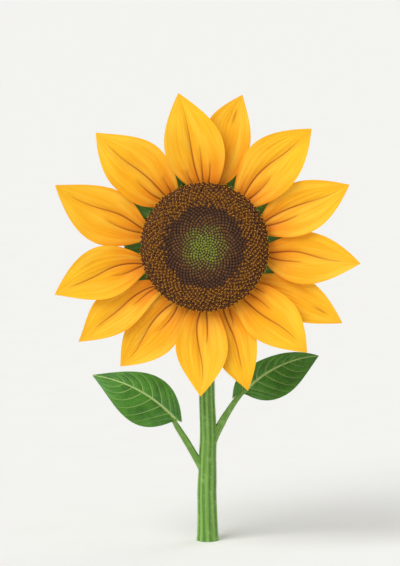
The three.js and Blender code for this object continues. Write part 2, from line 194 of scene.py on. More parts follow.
# Leaves, in the plane that faces forward: x to the right, y up, z forward. rib_bow: how far the midrib
# bows up from the straight line between base and tip. stalk_radii: at even steps. edges: as a petal's,
# but each begins with where it starts, as s and the distance from that line.
LEAVES = [
    dict(name="left", base=(-28.2, 110.3, 18), tip=(-105.7, 152.4, 21), rib_bow=8.2,
         stalk=[(0.5, 57.1, 7), (-10.8, 76.6, 10.4), (-19.2, 91.2, 13.7),
                (-27.5, 104.5, 16.9), (-30.8, 109.9, 18), (-36.3, 116.1, 19)],
         stalk_radii=(4.8, 3.5, 3.1, 3, 2.6, 1.3),
         edges=((0.03, 1.3, 0.38, 19.7, 2.2, 1), (-0.05, 1.4, 0.4, 27.1, 2.4, 1.4))),
    dict(name="right", base=(31.8, 134.9, 19), tip=(101.7, 170.1, 18), rib_bow=7.9,
         stalk=[(1.2, 85.6, 10.5), (12.2, 107.7, 14.2), (18.9, 119.2, 16.4),
                (25.2, 128.6, 18.1), (29.4, 133.5, 19), (35.2, 139.6, 19.8)],
         stalk_radii=(4.9, 3.8, 3.5, 2.9, 2.4, 1.3),
         edges=((-0.13, 0.6, 0.33, 20.6, 2.8, 2.4), (0.03, 1.1, 0.42, 17.7, 2.6, 1.2))),
]
LEAF_THICK = (0.5, 0.9)
LEAF_LEAN = 0.42
LEAF_FOLD = 0.16
LEAF_ARCH = 7
LEAF_DROOP = 4.2
LEAF_FRILL = 0.9
SIDE_VEINS = (0, 0.1, 0.22, 0.34, 0.46, 0.57, 0.67, 0.77, 0.86)  # where they leave the midrib, as s
VEIN_SWEEP = (0.14, 0.16)  # how far towards the tip they run by the edge, and how they bend
VEIN_STAGGER = -0.01  # how much farther along they leave the rib on one side than on the other
VEIN_WANDER = 0.01
VEIN_HALF_WIDTH = 0.09  # as a share of the gap between two
VEIN_RELIEF = (0.3, 0.6)  # how far they are sunk above, and stand out below
RIB_RELIEF = (0.8, 2.2)  # the same for the midrib at the base
RIB_HALF_WIDTH = (0.5, 1.3)  # at the tip, and how much more at the base
RIB_PAINT = (0.35, 1.1)  # the same for its pale colour
QUILT = 0.6  # how far the blade swells between its side veins

# Florets, packed in a spiral with their tips on the outline of the source's disc. Their feet lie on a
# profile of (radius, depth), and the zones start at distances from the middle walked along it.
FLORET_FEET = np.array([(0, 6.4), (22, 6.1), (40, 5.2), (50, 3.4), (53.6, 1.4), (54.8, -0.8)])
FLORETS = 1380
GOLDEN_ANGLE = math.radians(137.508)
FLORET_SPREAD = 0.56  # 0.5 packs them evenly, more packs the middle closer
FLORET_SIZE = (0.8, 0.35)  # in the middle, and how much larger towards the rim
FLORET_VARIETY = (0.88, 1.12)
FLORET_LEAN = 0.06
RIM_SHRINK = 0.35  # how much smaller the outermost ones are
CORE_RISE = 1.9  # how deep the florets stand in the core
ZONES = dict(centre_buds=0, olive_buds=13, brown_buds=20, dark_buds=28, open_florets=36)
ZONE_BLUR = (1.6, 1.3)  # how far a zone's edge wanders, and its florets are scattered across it

# Profiles of the small parts of the disc: (radius, height), up to the tip
YOUNG_BUD = [(1.15, 0), (1.3, 1.9), (1.15, 2.7), (0.6, 3.4), (0, 3.8)]
CLOSED_BUD = [(0.9, 0), (1.05, 1.4), (1.32, 2.4), (1.05, 3.1), (0.45, 3.5), (0, 3.6)]
FLORET_TUBE = [(0.62, 0), (0.7, 1.5), (0.95, 2.6), (0.7, 2.7), (0, 2.2)]
ANTHER_COLUMN = [(0.42, 1.8), (0.46, 3.2), (0.5, 4), (0.3, 4.5), (0, 4.6)]
STIGMA_PRONG = [(0.2, 0), (0.22, 0.5), (0.14, 0.9), (0, 1.1)]
STIGMA_HEIGHT = 4.3
STIGMA_FORK = (0.15, 0.75)  # how far out its prongs start, and how fast they part

# Lobes of an open floret, and the upper outline of one: (out, sideways, height)
LOBES = 5
LOBE = [(0.7, -0.5, 2.5), (0.7, 0.5, 2.5), (1.25, 0.42, 3.1), (1.25, -0.42, 3.1), (1.75, 0, 2.85)]
LOBE_UNDER = (0.05, 0, 0.22)  # how far the lower outline lies in from it, and below

# Colours as six hex digits: in the furrows, painted darker as shade, on the crests, painted paler as light,
# and of paler spots
GREENS = dict(
    stem=("47751f", "7fae49", "93bb63"),
    bract=("356b1f", "5f9838", "79a84d"),
    receptacle=("4c812b", "7bab4b", "8fb961"),
)

# Materials of small parts: name, darker colour, lighter colour
SMALL_PARTS = dict(
    core=("core_brown", "2a1608", "3b200d"),
    centre_buds=("bud_green", "6c7a24", "94992f"),
    olive_buds=("bud_olive", "6a5c1c", "86752a"),
    brown_buds=("bud_brown", "55340f", "774c1a"),
    dark_buds=("bud_dark", "41240e", "5f3714"),
    open_florets=("floret_brown", "6b3a10", "9c5c18"),
    anthers=("anther_brown", "241106", "3a1e0c"),
    pollen=("pollen_gold", "e0960f", "f6bb2c"),
    bristles=("hair_white", "cfd8b4", "e8edd6"),
)

# Camera, which faces the flower squarely
CAMERA_ACROSS = -7.1
CAMERA_UP = 236.9
CAMERA_DISTANCE = 2795  # from the plane of the disc's rim
LENS = 200
SENSOR = 36

# Soft lamps: the way towards them, their width in degrees, and strength
SUNS = dict(key=((-0.6, -0.6, 0.85), 40, 2.15), rim=((0.7, 0.7, 0.6), 40, 0.5))

# Brightness of the backdrop
BACKDROP = 0.908  # near the horizon
OVERHEAD = 0.33
BACKDROP_FADE = (0.12, 0.6)  # the heights between which it changes, 1 overhead

FLOOR_SIZE = 60  # in metres


# Shape rules, as in the part's source

def facing(points):
    """Points of the plane that faces forward (x, up, forward), as points of the plant."""
    x, up, forward = np.moveaxis(np.asarray(points, float), -1, 0)
    sin = math.sin(LOOK_UP)
    cos = math.cos(LOOK_UP)
    return np.stack([x, up * sin - forward * cos, up * cos + forward * sin], axis=-1)


def ease(t, start, slope_start, end, slope_end):
    """A cubic between two values with given slopes, over t from 0 to 1."""
    return (
        start * (2 * t**3 - 3 * t**2 + 1)
        + slope_start * (t**3 - 2 * t**2 + t)
        + end * (3 * t**2 - 2 * t**3)
        + slope_end * (t**3 - t**2)
    )


def edge_at(edge, s):
    """One edge of a blade: how far along it is, and how far out."""
    root_along, root_out, widest, reach, leave, point = edge
    near = ease(s / widest, root_out, leave * (reach - root_out), reach, 0)
    far = ease((s - widest) / (1 - widest), reach, 0, TIP_HALF_WIDTH, -point * reach)
    return s + root_along * (1 - s) ** 2, np.where(s <= widest, near, far)


def at_bearing(degrees, reach):
    """A flat place on the head."""
    angle = np.radians(degrees)
    return np.stack([reach * np.sin(angle), reach * np.cos(angle)], axis=-1)


def axes(start, end):
    """The distance between two flat places, the way from the first, and the way clockwise of that."""
    line = np.subtract(end, start)
    length = np.hypot(*line)
    ahead = line / length
    return length, ahead, np.array([ahead[1], -ahead[0]])


def tier_depth(tier, reach):
    """The depth of a tier of petals at a distance from the head's centre."""
    return TIER_BACK + tier * TIER_STEP + (TIER_RISE[0] + tier * TIER_RISE[1]) * (reach - HUB_RADIUS)


# Helpers for all shapes

def waves(across, along, size, seed):
    """Slow ripples between -1 and 1."""
    count = 4
    local = np.random.default_rng(seed)
    total = np.zeros(np.broadcast(across, along).shape)
    for _ in range(count):
        a, b = local.normal(size=2) * size
        total += np.sin(a * across + b * along + local.uniform(0, math.tau))
    return total / count


def bell(x):
    """1 at 0, and next to nothing from 2 on."""
    return np.exp(-(x**2))


def round_angles(sides):
    return np.linspace(0, math.tau, sides, endpoint=False)


def turned(points, angle):
    """The points, turned about their third axis."""
    x, y, z = np.array(points, float).T
    sin = math.sin(angle)
    cos = math.cos(angle)
    return np.stack([x * cos - y * sin, x * sin + y * cos, z], axis=-1)


def walk(line):
    """How far along the line each of its points is."""
    return np.concatenate([[0], np.cumsum(np.linalg.norm(np.diff(line, axis=0), axis=1))])


def resampled(line, count):
    """Points at even steps along the line."""
    walked = walk(line)
    even = np.linspace(0, walked[-1], count)
    return np.stack([np.interp(even, walked, column) for column in line.T], axis=-1)


# Meshes

def new_object(name, data):
    item = bpy.data.objects.new(name, data)
    bpy.context.scene.collection.objects.link(item)
    return item


def make_piece(name, points, faces, material, slot, replaced=(), values=None, sharp=50):
    """A named piece from points in millimetres. values: numbers or vectors of each point, for its material.
    sharp: the degrees from which an edge isn't smoothed."""
    mesh = bpy.data.meshes.new(name)
    mesh.from_pydata((np.asarray(points) * MM).tolist(), [], faces)
    for key, data in (values or {}).items():
        vector = data.ndim == 2
        layer = mesh.attributes.new(key, "FLOAT_VECTOR" if vector else "FLOAT", "POINT")
        layer.data.foreach_set("vector" if vector else "value", data.astype(np.float32).ravel())
    mesh.validate()
    mesh.shade_smooth()
    mesh.set_sharp_from_angle(angle=math.radians(sharp))
    mesh.materials.append(material)
    piece = new_object(name, mesh)
    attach(piece, "root")
    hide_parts(*replaced)


def merged(shapes):
    """Several shapes as one, each (points, faces)."""
    points = []
    faces = []
    for shape_points, shape_faces in shapes:
        faces += [[len(points) + i for i in face] for face in shape_faces]
        points += list(shape_points)
    return np.array(points), faces


def quads_between(*corners):
    return np.stack([numbers.ravel() for numbers in corners], axis=1)


def sheet_faces(columns, rows):
    """Faces of a closed sheet that has its front points first, row by row, and then its back points."""
    count = rows * columns
    front = np.arange(count).reshape(rows, columns)
    back = front + count
    rim = np.concatenate([front[:-1, 0], front[-1, :-1], front[:0:-1, -1], front[0, :0:-1]])
    after = np.roll(rim, -1)
    return np.concatenate([
        quads_between(front[:-1, :-1], front[:-1, 1:], front[1:, 1:], front[1:, :-1]),
        quads_between(back[:-1, :-1], back[1:, :-1], back[1:, 1:], back[:-1, 1:]),
        quads_between(rim, after, after + count, rim + count),
    ])


def sheet_points(c, flat, middle, thick, relief_front, relief_back):
    """Points of a closed sheet, from its flat places (rows, columns, 2) and the depth of its middle layer.
    thick: at the edge, and along the middle. The reliefs move its two sides."""
    half = (thick[1] + (thick[0] - thick[1]) * c**2) / 2
    depths = middle + half + relief_front, middle - half + relief_back
    return np.concatenate([np.dstack([flat, depth]).reshape(-1, 3) for depth in depths])


def both_sides(data):
    """The same numbers or vectors for both sides of a sheet."""
    return np.concatenate([data.reshape(-1, *data.shape[2:])] * 2)


def blade_grain(across, along, offset):
    """Places for a blade's streaks. The offset gives each blade its own."""
    return both_sides(np.stack([across, np.full(across.shape, offset), along], axis=-1))


def tube_faces(rings, sides):
    """Faces of a tube of rings, closed by a flat face at each end."""
    index = np.arange(rings * sides).reshape(rings, sides)
    after = np.roll(index, -1, axis=1)
    walls = quads_between(index[:-1], after[:-1], after[1:], index[1:])
    return walls.tolist() + [index[0][::-1].tolist(), index[-1].tolist()]


def round_values(angle, size, along, ridge):
    """Places for the streaks of a round piece, and how far up a ridge each point lies."""
    places = np.broadcast_arrays(np.cos(angle) * size, np.sin(angle) * size, along)
    # ridge also sets where the material paints light on the crests and shade in the furrows
    return dict(grain=np.stack(places, axis=-1).reshape(-1, 3), ridge=((ridge + 1) / 2).ravel())


# Petals

def crease_place(crease, s):
    """Where a crease lies across the petal, as c."""
    start, end, *places = crease
    return np.polyval(np.polyfit(np.linspace(start, end, 4), places, 3), np.clip(s, start, end))


def crease_strength(crease, s):
    """How deep a crease is: deepest at the disc, or midway if it starts farther out."""
    start, end = crease[:2]
    run = np.clip((s - start) / (end - start), 0, 1)
    if start > 0:
        return 0.6 * np.sin(math.pi * run)
    return (0.25 + 0.75 * (1 - run) ** 0.7) * np.clip(6 * (1 - run), 0, 1) ** 0.5


def crowded_columns(petal, s):
    """The columns of a petal's grid in each row, as c, drawn together along its creases."""
    more, width = CROWDING
    fine = np.linspace(-1, 1, 500)
    density = np.ones((len(s), len(fine)))
    for crease in petal["creases"]:
        density += more * bell((fine - crease_place(crease, s)[:, None]) / width)
    shares = np.cumsum(density, axis=1)
    shares = (shares - shares[:, :1]) / (shares[:, -1:] - shares[:, :1])
    even = np.linspace(0, 1, GRIDS["petal"][0])
    return np.stack([np.interp(even, row, fine) for row in shares])


def crease_fields(petal, c, s, half_width):
    """How much each point lies in a crease, and in the hollow round one, from 0 to 1."""
    groove = np.zeros(c.shape)
    level = np.ones(c.shape)
    for crease in petal["creases"]:
        strength = crease_strength(crease, s)
        away = (c - crease_place(crease, s)) * half_width
        narrow = GROOVE[1] * (0.5 + 0.5 * strength)
        groove = np.maximum(groove, strength * bell(away / narrow))
        level *= 1 - strength * bell(away / VALLEY[1])
    return groove, 1 - level


def petal_outline(petal, s):
    """The two edges of a petal, flat, and its length."""
    corners = at_bearing(np.array(petal["root"]), DISC_RADIUS)
    foot = corners.mean(axis=0)
    length, ahead, across = axes(foot, at_bearing(*petal["tip"]))
    sides = []
    for belly, corner, sign in zip(petal["edges"], corners, (-1, 1)):
        root = ((corner - foot) @ ahead / length, abs((corner - foot) @ across))
        along, out = edge_at((*root, *belly), s)
        sides.append(foot + np.outer(along * length, ahead) + np.outer(sign * out, across))
    return sides, length


def petal_flat(petal, c, s):
    """A petal's flat places, its half width in each row, and its length."""
    (before, after), length = petal_outline(petal, s)
    share = (c[..., None] + 1) / 2
    flat = before[:, None] * (1 - share) + after[:, None] * share
    first, last = petal["root"]
    bearings = first + PETAL_NECK + share[0, :, 0] * (last - first - 2 * PETAL_NECK)
    flat[0] = at_bearing(bearings, HUB_RADIUS + CLEARANCE)
    flat[1] = (flat[0] + flat[2]) / 2
    return flat, np.hypot(*(after - before).T)[:, None] / 2, length


def petal_depth(petal, c, s, reach, seed):
    """The depth of a petal's middle layer, without the creases."""
    body = np.sin(math.pi * s)
    cup = PETAL_CUP * body * c**2
    curl = petal["curl"] * np.clip((s - CURL_START) / (1 - CURL_START), 0, None) ** 2
    ripple = PETAL_RIPPLE * body * waves(c * 2, s * 5, 1.1, seed)
    frill = PETAL_FRILL * body * np.abs(c) ** 3 * waves(c, s * 14, 1, seed + 1)
    return tier_depth(petal["tier"], reach) + cup - curl + ripple + frill


def petal_mesh(petal, seed):
    """A petal's points, and the values for its material."""
    s = np.concatenate([[0, 0], np.linspace(0, 1, GRIDS["petal"][1])])  # the first two lie under the disc
    c = crowded_columns(petal, s)
    flat, half_width, length = petal_flat(petal, c, s)
    s = np.broadcast_to(s[:, None], c.shape)
    groove, valley = crease_fields(petal, c, s, half_width)
    middle = petal_depth(petal, c, s, np.hypot(flat[..., 0], flat[..., 1]), seed) - VALLEY[0] * valley
    ribs = np.cos(math.pi * FINE_RIBS * (c + 0.05 * waves(c, s * 6, 1, seed + 2)))
    ribs = FINE_RIB_HEIGHT * ribs * (1 - c**4) * half_width / half_width.max()
    sunk = GROOVE[0] * groove
    points = sheet_points(c, flat, middle, PETAL_THICK, ribs - sunk, -ribs - sunk)
    # Painted shade: the rear tiers are painted deeper orange, as if in the shade of those in front; a
    # random share gives each petal some tone of its own.
    rear_shade_and_tone = 0.8 - petal["tier"] / 4 + np.random.default_rng(seed).uniform(0, 0.2)
    return facing(points) + HEAD_CENTRE, dict(
        along=both_sides(s),
        groove=both_sides(groove),
        valley=both_sides(valley),
        back=np.repeat([0, 1], c.size),
        grain=blade_grain(c * 20, s * length, seed * 9.0),
        rear_shade_and_tone=np.full(2 * c.size, rear_shade_and_tone),
    )


def make_petals(material):
    columns, rows = GRIDS["petal"]
    faces = sheet_faces(columns, rows + 2).tolist()
    for i, petal in enumerate(PETALS):
        points, values = petal_mesh(petal, SEEDS["petals"] + 5 * i)
        node = f"petal_{i + 1:02d}"
        make_piece(f"ray_{node}", points, faces, material, "petal", [node], values)


# Bracts

def bract_mesh(ring, seed):
    """A bract's points, as if it grew straight up, and the values for its material."""
    columns, rows = GRIDS["bract"]
    local = np.random.default_rng(seed)
    length = BRACT_LENGTH * local.uniform(*BRACT_VARIETY["length"])
    c, s = np.meshgrid(np.linspace(-1, 1, columns), np.linspace(-ring["foot"] / length, 1, rows))
    run_in = np.clip(-s * length / ring["foot"], 0, 1)
    ahead = np.clip(s, 0, 1)
    width = c * edge_at(BRACT_EDGE, ahead)[1] * (1 - FOOT_NARROWER * run_in**2)
    radius = COLLAR_RADIUS + CLEARANCE + s * length
    reach = radius + (np.sqrt(radius**2 - width**2) - radius) * (1 - ahead) ** 2
    flat = np.stack([width + local.uniform(*BRACT_VARIETY["sway"]) * ahead**2, reach], axis=-1)
    middle = ring["depth"] - ring["back"] * local.uniform(*BRACT_VARIETY["back"]) * ahead**2
    middle = middle + BRACT_CUP * c**2 * (1 - ahead) * (1 - run_in)
    if ring["over"]:
        surface = np.interp(radius, *zip(*HEAD_UNDERSIDE, (COLLAR_RADIUS, COLLAR[1])))
        sunk = (FOOT_SINK[0] + FOOT_SINK[1] * c**2) * run_in**2
        middle = np.minimum(middle, surface - FOOT_RISE + sunk + FOOT_LEAVE * ahead)
    middle = middle + BRACT_RIPPLE * waves(c, s * 5, 1, seed) * ahead
    vein = np.abs(np.cos(BRACT_VEINS / 2 * math.pi * c)) ** 6 * (1 - ahead) * (1 - 0.6 * run_in)
    reliefs = [-depth * vein for depth in BRACT_VEIN_DEPTHS]
    points = sheet_points(c, flat, middle, BRACT_THICK, *reliefs)
    # Its sunk veins count as furrows, which the bract's material paints darker as shade.
    return points, dict(ridge=both_sides(1 - vein), grain=blade_grain(c * 9, s * length, seed * 7.0))


def make_bracts(material):
    """Each ring of bracts as one joined piece."""
    faces = sheet_faces(*GRIDS["bract"]).tolist()
    for k, ring in enumerate(BRACT_RINGS):
        shapes = []
        values = []
        for i in range(BRACTS_A_RING):
            upright, extra = bract_mesh(ring, SEEDS["bracts"] + 20 * k + i)
            placed = facing(turned(upright, -math.tau * (i + ring["turn"]) / BRACTS_A_RING))
            shapes.append((placed + HEAD_CENTRE, faces))
            values.append(extra)
        joined = {key: np.concatenate([extra[key] for extra in values]) for key in values[0]}
        nodes = [f"{ring['name']}_{i + 1:02d}" for i in range(BRACTS_A_RING)]
        make_piece(f"{ring['name']}_ring", *merged(shapes), material, "bract", nodes, joined)


# Leaves

def vein_place(c, s, seed):
    """Which side vein each point lies at: whole numbers are on a vein, halves are midway."""
    away = np.abs(c)
    swept = s - VEIN_SWEEP[0] * away - VEIN_SWEEP[1] * away**2
    swept = swept - np.where(c > 0, VEIN_STAGGER, 0) + VEIN_WANDER * waves(away * 3, s * 9, 1, seed)
    gaps = np.diff(SIDE_VEINS)
    before = np.minimum(swept - SIDE_VEINS[0], 0) / gaps[0]
    beyond = np.maximum(swept - SIDE_VEINS[-1], 0) / gaps[-1]
    return np.interp(swept, SIDE_VEINS, range(len(SIDE_VEINS))) + before + beyond


def leaf_layer(leaf, c, s, seed):
    """A leaf blade's flat places, the depth of its middle layer, and the distance from the midrib."""
    away = np.abs(c)
    *base, base_depth = leaf["base"]
    *tip, tip_depth = leaf["tip"]
    length, ahead, across = axes(base, tip)
    upward = math.copysign(1, across[1])
    along, out = np.where(c < 0, *[edge_at(edge, s) for edge in leaf["edges"]])
    rib = upward * 4 * leaf["rib_bow"] * s * (1 - s)
    width = rib + (out * np.sign(c) - rib) * away
    reach = s + (along - s) * away
    flat = base + (reach * length)[..., None] * ahead + width[..., None] * across
    from_rib = np.abs(width - rib)
    rise = base_depth + (tip_depth - base_depth) * s
    arch = LEAF_ARCH * np.sin(math.pi * s) - LEAF_DROOP * s**2
    middle = rise - LEAF_LEAN * upward * width + LEAF_FOLD * from_rib + arch
    frill = LEAF_FRILL * away**3 * waves(c, s * 11, 1.2, seed) * np.sin(math.pi * s)
    return flat, middle + frill, from_rib


def leaf_mesh(leaf, seed):
    """A leaf blade's points, and the values for its material."""
    columns, rows = GRIDS["leaf"]
    c, s = np.meshgrid(np.linspace(-1, 1, columns), np.linspace(0, 1, rows))
    away = np.abs(c)
    flat, middle, from_rib = leaf_layer(leaf, c, s, seed)
    place = vein_place(c, s, seed + 1)
    gap = np.abs(place - np.round(place))  # 0 on a side vein, 0.5 midway
    fade = np.clip(1.1 - away, 0, 1) ** 0.5 * np.clip(3 * (1 - s), 0, 1) * (place > -0.4)
    side = fade * bell(gap / VEIN_HALF_WIDTH)
    rib = bell(from_rib / (RIB_HALF_WIDTH[0] + RIB_HALF_WIDTH[1] * (1 - s)))
    swell = QUILT * np.sin(math.pi * gap) * np.clip(4 * (1 - away), 0, 1) * np.clip(3 * (1 - s), 0, 1)
    above = swell - VEIN_RELIEF[0] * side - RIB_RELIEF[0] * rib * (1 - 0.6 * s)
    below = swell - VEIN_RELIEF[1] * side - RIB_RELIEF[1] * rib * (1 - 0.75 * s)
    points = sheet_points(c, flat, middle, LEAF_THICK, above, below)
    return facing(points), dict(
        place=both_sides(place),
        fade=both_sides(fade),
        rib=both_sides(np.clip(from_rib / (RIB_PAINT[0] + RIB_PAINT[1] * (1 - s)), 0, 4)),
        margin=both_sides(away),
        back=np.repeat([0, 1], c.size),
    )


def make_leaves(blade_material, stalk_material):
    """Blades and stalks. Returns the bristles of the stalks."""
    faces = sheet_faces(*GRIDS["leaf"]).tolist()
    rings = GRIDS["stalk"][1]
    bristles = []
    for k, leaf in enumerate(LEAVES):
        points, values = leaf_mesh(leaf, SEEDS["leaves"] + 10 * k)
        node = f"leaf_blade_{leaf['name']}"
        make_piece(f"{node}_veined", points, faces, blade_material, "leaf", [node], values)
        line = resampled(smooth_line(facing(leaf["stalk"])), rings)
        knots = np.linspace(0, 1, len(leaf["stalk_radii"]))
        radii = np.interp(np.linspace(0, 1, rings), knots, leaf["stalk_radii"])
        node = f"leaf_stalk_{leaf['name']}"
        seed = SEEDS["stalks"] + 5 * k
        bristles.append(make_limb(f"{node}_skin", "stalk", line, radii, stalk_material, [node], seed))
    return bristles


# Stem and stalks

def smooth_line(points):
    """A smooth line through the points."""
    ends = 2 * points[0] - points[1], 2 * points[-1] - points[-2]
    padded = np.concatenate([ends[:1], points, ends[1:]])
    t = np.linspace(0, 1, 24, endpoint=False)[:, None]
    spans = []
    for a, b, c, d in zip(padded, padded[1:], padded[2:], padded[3:]):
        cubic = 2 * b + (c - a) * t + (2 * a - 5 * b + 4 * c - d) * t**2 + (3 * b - a - 3 * c + d) * t**3
        spans.append(cubic / 2)
    return np.concatenate([*spans, points[-1:]])


def limb_frames(line):
    """Two directions square to the line at each of its points, without twist, and its own."""
    ahead = np.gradient(line, axis=0)
    ahead /= np.linalg.norm(ahead, axis=1, keepdims=True)
    first = np.empty_like(line)
    side = np.array([0, -1.0, 0])
    for k, direction in enumerate(ahead):
        side = side - side @ direction * direction
        side /= np.linalg.norm(side)
        first[k] = side
    return first, np.cross(ahead, first), ahead


def make_limb(name, kind, line, radii, material, replaced, seed):
    """A ridged stem or stalk. A stalk has a channel in front. Returns its bristles."""
    sides = GRIDS[kind][0]
    first, second, ahead = limb_frames(line)
    angle = round_angles(sides)
    walked = walk(line)
    turn, length = RIDGE_SWAY
    ridge = np.cos(RIDGES * angle + turn * np.sin(walked / length)[:, None])
    rough = waves(np.cos(angle) * 3, walked[:, None] / 14, 1, seed)
    rough = rough + waves(np.sin(angle) * 3, walked[:, None] / 9, 1, seed + 1)
    channel = bell(((angle + math.pi) % math.tau - math.pi) / CHANNEL_HALF_WIDTH)
    channel = channel * (CHANNEL_DEPTH if kind == "stalk" else 0)
    size = np.minimum(1, radii[:, None] / FULL_RELIEF_RADIUS)
    radius = radii[:, None] * (1 - channel) + (RIDGE_HEIGHT * ridge + ROUGHNESS * rough) * size
    spoke = np.cos(angle)[:, None] * first[:, None] + np.sin(angle)[:, None] * second[:, None]
    points = line[:, None] + spoke * radius[..., None]
    values = round_values(angle, 12, walked[:, None], ridge)
    faces = tube_faces(len(line), sides)
    make_piece(name, points.reshape(-1, 3), faces, material, "stem", replaced, values)
    count = int(BRISTLES_A_MM2 * math.tau * radii.mean() * walked[-1])
    return bristles_on(points, spoke, ahead, count, BARE_RINGS[kind], seed + 2)


def bristles_on(points, spoke, ahead, count, bare, seed):
    """Thin cones at drawn points of a limb, each as three corners round its foot and its tip."""
    local = np.random.default_rng(seed)
    rings, sides = points.shape[:2]
    row, column = divmod(local.choice((rings - 1 - bare) * sides, count, replace=False), sides)
    feet = points[row + 1, column]
    away = spoke[row + 1, column]
    ahead = ahead[row + 1]
    length = local.uniform(*BRISTLE_LENGTHS, (count, 1))
    tips = feet + away * length + ahead * local.normal(0, BRISTLE_LEAN, (count, 1))
    side = np.cross(away, ahead)
    sunk = feet - away * BRISTLE_SINK
    corners = [sunk + BRISTLE_RADIUS * (math.cos(a) * side + math.sin(a) * ahead) for a in (0, 2.1, 4.2)]
    return np.stack([*corners, tips], axis=1)


def make_bristles(cones, material):
    start = 4 * np.arange(len(cones))[:, None]
    corners = ((1, 0, 3), (2, 1, 3), (0, 2, 3), (0, 1, 2))
    faces = np.concatenate([start + corner for corner in corners]).tolist()
    make_piece("stem_hairs", cones.reshape(-1, 3), faces, material, "stem")


def make_stem(material):
    """Stem and neck as one skin, up from the level cut and into the head. Returns its bristles."""
    forward = facing((0, 0, 1))
    end = HEAD_CENTRE + forward * (HEAD_BACK + NECK_SINK)
    foot = np.array([STEM[-1][1], 0, STEM_TOP])
    rise = foot + (0, 0, NECK_RISE)
    run = end - forward * NECK_RUN
    t = np.linspace(0, 1, NECK_RINGS + 1)[1:, None]
    neck = foot * (1 - t) ** 3 + 3 * rise * t * (1 - t) ** 2 + 3 * run * t**2 * (1 - t) + end * t**3
    heights = np.linspace(0, STEM_TOP, GRIDS["stem"][1])
    height, lean, radius = zip(*STEM)
    stem = np.stack([np.interp(heights, height, lean), np.zeros(len(heights)), heights], axis=-1)
    flare = radius[-1] + (NECK_END_RADIUS - radius[-1]) * t[:, 0] ** 3
    radii = np.concatenate([np.interp(heights, height, radius), flare])
    line = np.concatenate([stem, neck])
    return make_limb("stem_skin", "stem", line, radii, material, ["stem", "neck"], SEEDS["stem"])


# Head

def turned_body(name, profile, sides, material, slot, ribs=0):
    """A body turned about the head's axis from (radius, depth), back to front. ribs: how high they are."""
    radius, depth = profile.T[..., None]
    angle = round_angles(sides)
    wander = 0.5 * waves(np.cos(angle) * 3, np.sin(angle) * 3 + radius / 20, 1.4, SEEDS["receptacle"])
    ridge = np.cos(RECEPTACLE_RIBS * angle + 5 * wander) * (0.6 + wander)
    start, grow, end = RIB_FADES
    inside = np.clip((radius - start) / grow, 0, 1)
    depth = depth + ribs * ridge * inside * np.clip((COLLAR_RADIUS - radius) / end, 0, 1)
    x, y, depth = np.broadcast_arrays(radius * np.sin(angle), radius * np.cos(angle), depth)
    points = facing(np.stack([x, y, depth], axis=-1).reshape(-1, 3)) + HEAD_CENTRE
    faces = [face[::-1] for face in tube_faces(len(radius), sides)]  # because the angle runs clockwise
    values = round_values(angle, 20, radius, ridge) if ribs else None
    make_piece(name, points, faces, material, slot, [slot], values)


def make_receptacle(material):
    collar = [(COLLAR_RADIUS, COLLAR[1]), (COLLAR_RADIUS, COLLAR[0])]
    hub = [(HUB_RADIUS, COLLAR[0]), (HUB_RADIUS, DISC_BACK), (HUB_RADIUS - 10, DISC_BACK)]
    profile = np.array([(8, HEAD_BACK), *HEAD_UNDERSIDE, *collar, *hub], float)
    profile = resampled(profile, int(walk(profile)[-1] / RECEPTACLE_STEP))
    turned_body("receptacle_skin", profile, RECEPTACLE_SIDES, material, "receptacle", RECEPTACLE_RIB_HEIGHT)


def spun(profile, sides, twist=0.0, star=0.0):
    """A small spun shape from (radius, height). star: how deep its sides fold."""
    angle = round_angles(sides)
    points = []
    for k, (radius, height) in enumerate(profile[:-1]):
        r = radius * (1 + star * k / len(profile) * np.where(np.arange(sides) % 2, -1, 1))
        turn = angle + twist * k
        points.append(np.stack([r * np.cos(turn), r * np.sin(turn), np.full(sides, height)], axis=-1))
    points = np.concatenate([*points, [[0, 0, profile[-1][1]]]])
    levels = len(profile) - 1
    faces = tube_faces(levels, sides)[:-1]
    top = (levels - 1) * sides
    faces += [[top + i, top + (i + 1) % sides, levels * sides] for i in range(sides)]
    return points, faces


def lobes():
    """The pointed lobes that open from a floret's tube, each a thin closed wedge."""
    upper = np.array(LOBE)
    wedge = [
        (0, 3, 2, 1), (3, 4, 2), (5, 6, 7, 8), (8, 7, 9), (0, 1, 6, 5), (1, 2, 7, 6), (2, 4, 9, 7),
        (4, 3, 8, 9), (3, 0, 5, 8),
    ]
    corners = np.concatenate([upper, upper - LOBE_UNDER])
    return merged([(turned(corners, math.tau * k / LOBES), wedge) for k in range(LOBES)])


def stigma():
    """The forked tip of an open floret."""
    shapes = []
    for side in (-1, 1):
        prong, faces = spun(STIGMA_PRONG, 4)
        prong[:, 0] += side * (STIGMA_FORK[0] + STIGMA_FORK[1] * prong[:, 2] ** 2)
        prong[:, 2] += STIGMA_HEIGHT
        shapes.append((prong, faces))
    return merged(shapes)


def on_feet(walked):
    """(radius, depth) of the florets' feet, at a walk from the disc's middle."""
    return np.array([np.interp(walked, walk(FLORET_FEET), column) for column in FLORET_FEET.T])


def core_place(walked, rise=0.0):
    """(radius, depth) at a rise over those feet, and the outward tilt there."""
    ahead = on_feet(walked + 1.5)
    behind = on_feet(walked - 1.5)
    tilt = np.arctan2(behind[1] - ahead[1], ahead[0] - behind[0])
    radius, depth = on_feet(walked)
    return radius + rise * np.sin(tilt), depth + rise * np.cos(tilt), tilt


def floret_places():
    """Each floret's share of the way to the rim, its foot, and the ways up and out there."""
    index = np.arange(1, FLORETS + 1)
    share = (index / FLORETS) ** FLORET_SPREAD
    angle = index * GOLDEN_ANGLE
    radius, depth, tilt = (row[:, None] for row in core_place(share * walk(FLORET_FEET)[-1]))
    out = np.stack([np.cos(angle), np.sin(angle), np.zeros(FLORETS)], axis=-1)
    up = np.array([0, 0, 1.0])
    return share, out * radius + up * depth, out * np.sin(tilt) + up * np.cos(tilt), out


